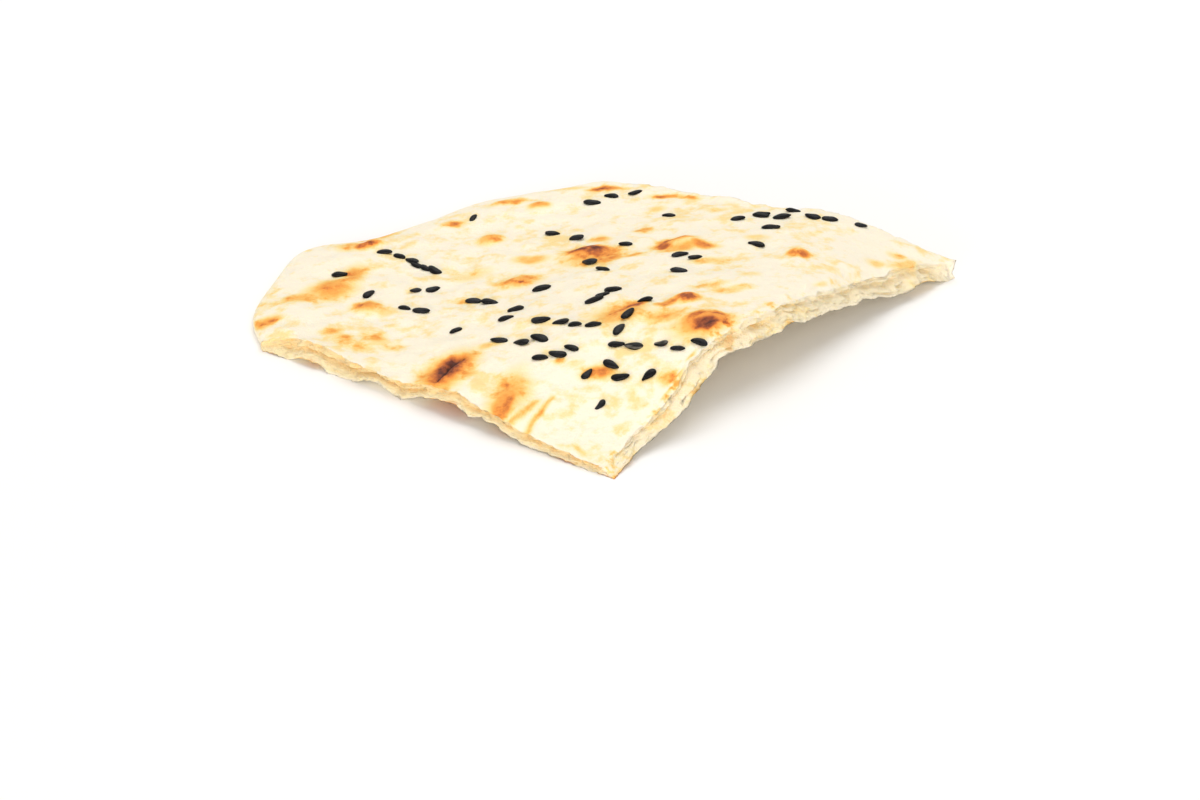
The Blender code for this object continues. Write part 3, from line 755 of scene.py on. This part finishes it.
class Finish:
    """A material whose shader is put together from nodes."""

    def __init__(self, name):
        self.material = bpy.data.materials.new(name)
        self.material.use_nodes = True
        self.tree = self.material.node_tree
        self.shader = self.tree.nodes["Principled BSDF"]

    def node(self, kind, settings=None, sockets=None, output=0):
        """A new node with these settings, and values or wires in its sockets. Returns one output."""
        made = self.tree.nodes.new(kind)
        for setting, value in (settings or {}).items():
            if setting == "stops":
                self.set_stops(made.color_ramp, value)
            else:
                setattr(made, setting, value)
        for socket, value in (sockets or {}).items():
            self.put(made.inputs[socket], value)
        return Wire(self, made.outputs[output])

    def set_stops(self, colour_ramp, stops):
        while len(colour_ramp.elements) < len(stops):
            colour_ramp.elements.new(0.5)
        for element, (place, colour) in zip(colour_ramp.elements, stops):
            element.position = place
            element.color = (*colour, 1.0)

    def put(self, socket, value):
        if isinstance(value, Wire):
            self.tree.links.new(value.socket, socket)
        elif isinstance(value, tuple) and socket.type == "RGBA":
            socket.default_value = (*value, 1.0)
        else:
            socket.default_value = value

    def set(self, **sockets):
        """Puts values or wires in the shader's own sockets, named with underscores for spaces."""
        for name, value in sockets.items():
            self.put(self.shader.inputs[name.replace("_", " ")], value)

    def place(self):
        """The point on the piece, in millimetres."""
        metres = self.node("ShaderNodeTexCoord", output="Object")
        return self.node("ShaderNodeVectorMath", {"operation": "SCALE"}, {0: metres, "Scale": 1 / MM})

    def mark(self, name):
        return self.node("ShaderNodeAttribute", {"attribute_name": name}, output="Fac")

    def grain(self, place, size, detail=3.0, roughness=0.5, stretch=(1.0, 1.0, 1.0)):
        """Noise from 0 to 1 with features of this size in millimetres."""
        sockets = {"Scale": 1.0 / size, "Detail": detail, "Roughness": roughness}
        if stretch != (1.0, 1.0, 1.0):
            place = self.node("ShaderNodeVectorMath", {"operation": "MULTIPLY"}, {0: place, 1: stretch})
        return self.node("ShaderNodeTexNoise", None, {"Vector": place, **sockets}, output="Fac")

    def between(self, value, low, high, at_low=0.0, at_high=1.0):
        """Maps a value smoothly from low to high onto another range, and holds it there."""
        settings = {"interpolation_type": "SMOOTHSTEP"}
        sockets = {"Value": value, "From Min": low, "From Max": high, "To Min": at_low, "To Max": at_high}
        return self.node("ShaderNodeMapRange", settings, sockets)

    def blend(self, factor, first, second):
        """Mixes two colours."""
        settings = {"data_type": "RGBA", "clamp_factor": True}
        return self.node("ShaderNodeMix", settings, {0: factor, 6: first, 7: second}, output=2)

    def colours(self, value, stops):
        return self.node("ShaderNodeValToRGB", {"stops": stops}, {"Fac": value}, output="Color")

    def bump(self, height, depth):
        """A bumped normal. The height is a wire from 0 to 1 and the depth is in millimetres."""
        return self.node("ShaderNodeBump", None, {"Strength": 1.0, "Distance": depth * MM, "Height": height})


# Colours, in linear light. The crust's run from bare cream through gold and amber to dark brown.
TOAST_STOPS = (
    (0.00, (0.950, 0.868, 0.700)),
    (0.15, (0.950, 0.800, 0.490)),
    (0.30, (0.945, 0.690, 0.280)),
    (0.45, (0.940, 0.490, 0.115)),
    (0.60, (0.860, 0.310, 0.055)),
    (0.75, (0.580, 0.155, 0.030)),
    (0.88, (0.290, 0.068, 0.022)),
    (1.00, (0.120, 0.026, 0.012)),
)
SCORCHED = (0.060, 0.014, 0.008)
CRUMB = (0.955, 0.740, 0.395)
CRUMB_LIGHT = (0.950, 0.810, 0.510)
# The crumb's darker colour is painted shade for its pores
CRUMB_PORE_SHADE = (0.945, 0.660, 0.310)
SEED_BLACK = (0.0025, 0.0025, 0.0030)
# Bluish-black patches painted on the seeds as sheen
SEED_PAINTED_SHEEN = (0.0160, 0.0170, 0.0210)
SEED_DUST = (0.2600, 0.2400, 0.2100)

# Sizes of the colours' and bumps' patches, from clouds in the crust down to grit, and how the crumb's streaks
# are stretched along the sheet
BROAD = 9.0
MOTTLE = 2.6
FINE = 0.9
STREAK = 0.55
GRIT = 0.28
STREAK_STRETCH = (0.35, 0.35, 1.6)
SEED_PATCH = 3.0
SEED_GRIT = 0.22

# How much toast the clouds, the pitted band's specks and the rim add on top, and underneath how much the
# pebbles give and how much the floury skin has everywhere
CLOUD_TOAST = 0.26
BAND_TOAST = 0.24
RIM_TOAST = 0.22
PEBBLE_TOAST = 0.60
FLOURY_TOAST = 0.06

# Depth of the bumps in the crust and in the seeds
CRUST_BUMP = 0.35
SEED_BUMP = 0.08


def crust_finish():
    finish = Finish("baked_crust")
    place = finish.place()
    toast, char = finish.mark("toast"), finish.mark("char")
    crumb, under, rim = finish.mark("crumb"), finish.mark("under"), finish.mark("rim")
    rough, dent = finish.mark("rough"), finish.mark("dent")

    broad = finish.grain(place, BROAD, 4.0, 0.55)
    mottle = finish.grain(place, MOTTLE, 4.0, 0.6)
    fine = finish.grain(place, FINE, 4.0, 0.6)

    # The top crust: its spots with grainy edges, and a faint golden mottle everywhere else
    edge = finish.between(toast, 0.02, 0.35)
    specks = edge * 0.24 + finish.between(toast, 0.5, 0.9) * 0.30
    spots = toast + (fine - 0.5) * specks + (mottle - 0.5) * 0.16 * edge
    mottled = finish.between(mottle + broad * 0.8, 0.86, 1.14) * CLOUD_TOAST
    speckled = finish.between(mottle + rough * 0.12, 0.60, 0.76) * rough * BAND_TOAST
    at_rim = rim * finish.between(broad, 0.46, 0.66) * RIM_TOAST
    toasted = spots + mottled + speckled + at_rim
    top = finish.colours(toasted, TOAST_STOPS)
    top = finish.blend(finish.between(char + (fine - 0.5) * 0.5, 0.25, 0.8), top, SCORCHED)

    # The underside: a floury skin, toasted where the hot pebbles pressed into it
    pressed = finish.between(dent + (mottle - 0.5) * 0.8 + (broad - 0.5) * 1.2, 0.42, 1.30) * PEBBLE_TOAST
    baked = finish.colours(pressed + (fine - 0.5) * 0.12 + FLOURY_TOAST, TOAST_STOPS)
    skin = finish.blend(under, top, baked)

    # The crumb in the cut sides: pale and streaked along its layers, with painted shade where its streaks,
    # and so its bump, are low, in its pores. It is lighter over the whole front-right cut and near the bottom
    # skin's edge.
    streaks = finish.grain(place, STREAK, 3.0, 0.6, STREAK_STRETCH)
    # Painted shade in the pores: the crumb colour darkens where the streaks, which also raise its bump, are
    # low
    crumb_colour = finish.blend(finish.between(streaks, 0.30, 0.60), CRUMB_PORE_SHADE, CRUMB)
    crumb_colour = finish.blend(finish.between(mottle, 0.50, 0.70) * 0.6, crumb_colour, CRUMB_LIGHT)
    # Paler crumb over the whole front-right cut and towards the bottom skin
    worn = finish.mark("worn")
    crumb_colour = finish.blend(worn * 0.8, crumb_colour, CRUMB_LIGHT)
    colour = finish.blend(crumb, skin, crumb_colour)

    grit = finish.grain(place, GRIT, 3.0, 0.6)
    skin_height = fine * 0.5 + mottle * 0.9 + grit * 0.25
    height = skin_height + crumb * (streaks * 0.9 + grit * 0.4)
    finish.set(
        Base_Color=colour,
        Roughness=finish.between(toasted, 0.3, 0.9, 0.86, 0.55),
        Normal=finish.bump(height, CRUST_BUMP),
        Specular_IOR_Level=0.2,
        Subsurface_Weight=0.12,
        Subsurface_Radius=(1.0, 0.6, 0.3),
        Subsurface_Scale=0.0012,
    )
    return finish.material


def seed_finish():
    finish = Finish("black_sesame")
    place = finish.place()
    patches = finish.grain(place, SEED_PATCH, 2.0)
    grit = finish.grain(place, SEED_GRIT, 3.0, 0.6)
    # Painted sheen: bluish patches over the seeds' black
    colour = finish.blend(finish.between(patches, 0.45, 0.75), SEED_BLACK, SEED_PAINTED_SHEEN)
    floury = finish.mark("dust") * finish.between(patches, 0.30, 0.60, 0.1, 0.6)
    colour = finish.blend(floury, colour, SEED_DUST)
    finish.set(
        Base_Color=colour,
        Roughness=finish.between(grit, 0.3, 0.7, 0.24, 0.46),
        Normal=finish.bump(grit, SEED_BUMP),
        Specular_IOR_Level=0.18,
    )
    return finish.material


# The stage

def add_floor():
    bpy.ops.mesh.primitive_plane_add(size=TABLE_SIZE, location=(0, 0, 0))
    floor = bpy.context.object
    floor.name = "floor"
    finish = Finish("white_table")
    finish.set(Base_Color=TABLE_WHITE, Roughness=0.9, Specular_IOR_Level=0.2)
    floor.data.materials.append(finish.material)


def add_softbox(name, location, size, power, colour):
    """An area light that looks at the middle of the table."""
    light = bpy.data.lights.new(name, "AREA")
    light.shape = "RECTANGLE"
    light.size, light.size_y = size
    light.energy = power
    light.color = colour
    lamp = bpy.data.objects.new(name, light)
    lamp.location = location
    lamp.rotation_euler = Vector(location).to_track_quat("Z", "Y").to_euler()
    bpy.context.scene.collection.objects.link(lamp)


def add_world():
    world = bpy.data.worlds.new("white_studio")
    world.use_nodes = True
    background = world.node_tree.nodes["Background"]
    background.inputs["Color"].default_value = WORLD_COLOUR
    background.inputs["Strength"].default_value = WORLD_LIGHT
    bpy.context.scene.world = world


def add_camera():
    elevation = math.radians(CAMERA_ELEVATION)
    back = Vector((0.0, -math.cos(elevation), math.sin(elevation)))
    camera = bpy.data.cameras.new("camera")
    camera.lens = CAMERA_LENS
    camera.sensor_width = 36.0
    eye = bpy.data.objects.new("camera", camera)
    eye.location = (Vector(CAMERA_AIM) + back * CAMERA_DISTANCE) * MM
    eye.rotation_euler = (math.pi / 2 - elevation, 0.0, 0.0)
    bpy.context.scene.collection.objects.link(eye)
    bpy.context.scene.camera = eye


def add_stage():
    add_floor()
    for softbox in SOFTBOXES:
        add_softbox(*softbox)
    add_world()
    add_camera()
    bpy.context.scene.view_settings.view_transform = "Standard"


def main():
    block, marks = bread_shape()
    surface = BVHTree.FromBMesh(block)
    seeds, seed_marks = seeds_shape(surface)
    low, high = (Vector(corner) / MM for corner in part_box(NODE))
    points = np.array([vertex.co for vertex in block.verts])
    mine_low, mine_high = points.min(axis=0), points.max(axis=0)
    offset = Vector((
        (low.x + high.x - mine_low[0] - mine_high[0]) / 2,
        (low.y + high.y - mine_low[1] - mine_high[1]) / 2,
        low.z - mine_low[2],
    ))
    crust = add_piece("sangak_crust", block, offset, marks)
    crust.data.materials.append(crust_finish())
    sesame = add_piece("black_sesame", seeds, offset, seed_marks)
    sesame.data.materials.append(seed_finish())
    for piece, slot in ((crust, "baked_crust"), (sesame, "black_sesame")):
        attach(piece, BODY)
        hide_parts(NODE)
    add_stage()


main()
